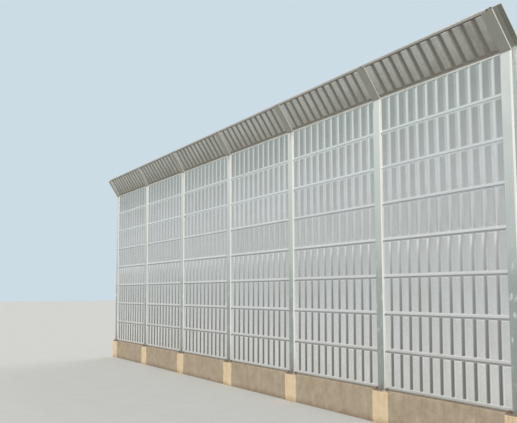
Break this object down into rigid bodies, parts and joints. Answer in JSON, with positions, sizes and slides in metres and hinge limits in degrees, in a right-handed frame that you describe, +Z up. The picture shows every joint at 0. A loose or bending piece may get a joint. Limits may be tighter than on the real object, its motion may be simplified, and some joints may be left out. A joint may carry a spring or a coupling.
{
  "type": "highway noise barrier",
  "caption": "Highway noise barrier in bays: grooved metal acoustic panels slotted between bent H posts on concrete piers, with a leaning top row.",
  "frame": {"origin": "ground level under the middle post, centre of its pier's flat underside", "axes": "+X along the run of bays, to the right as seen from the road; +Y away from the road; +Z up"},
  "size_m": [15.35, 0.4832, 4.9778],
  "materials": {
    "galvanised_post": "satin hot-dip galvanised, grimy at the foot",
    "panel_sheet": "matt powder coat over finely perforated sheet",
    "canopy_sheet": "weathered matt powder coat over finely perforated sheet",
    "fold_sheet": "satin powder coat",
    "rubber_packing": "matt",
    "mortar_bed": "rough cement mortar",
    "pier_concrete": "rough pale concrete",
    "plinth_render": "rough weathered render"
  },
  "bodies": {
    "root": {"post_1": "galvanised_post", "pier_1": "pier_concrete", "post_2": "galvanised_post", "pier_2": "pier_concrete", "post_3": "galvanised_post", "pier_3": "pier_concrete", "post_4": "galvanised_post", "pier_4": "pier_concrete", "post_5": "galvanised_post", "pier_5": "pier_concrete", "post_6": "galvanised_post", "pier_6": "pier_concrete", "post_7": "galvanised_post", "pier_7": "pier_concrete", "plinth_wall_1": "plinth_render", "wall_panels_1": "panel_sheet", "canopy_panel_1": "canopy_sheet", "plinth_wall_2": "plinth_render", "wall_panels_2": "panel_sheet", "canopy_panel_2": "canopy_sheet", "plinth_wall_3": "plinth_render", "wall_panels_3": "panel_sheet", "canopy_panel_3": "canopy_sheet", "plinth_wall_4": "plinth_render", "wall_panels_4": "panel_sheet", "canopy_panel_4": "canopy_sheet", "plinth_wall_5": "plinth_render", "wall_panels_5": "panel_sheet", "canopy_panel_5": "canopy_sheet", "plinth_wall_6": "plinth_render", "wall_panels_6": "panel_sheet", "canopy_panel_6": "canopy_sheet", "bedding_strips": "mortar_bed", "bend_closures": "fold_sheet", "canopy_caps": "fold_sheet", "packing_strips": "rubber_packing"}
  },
  "joints": []
}
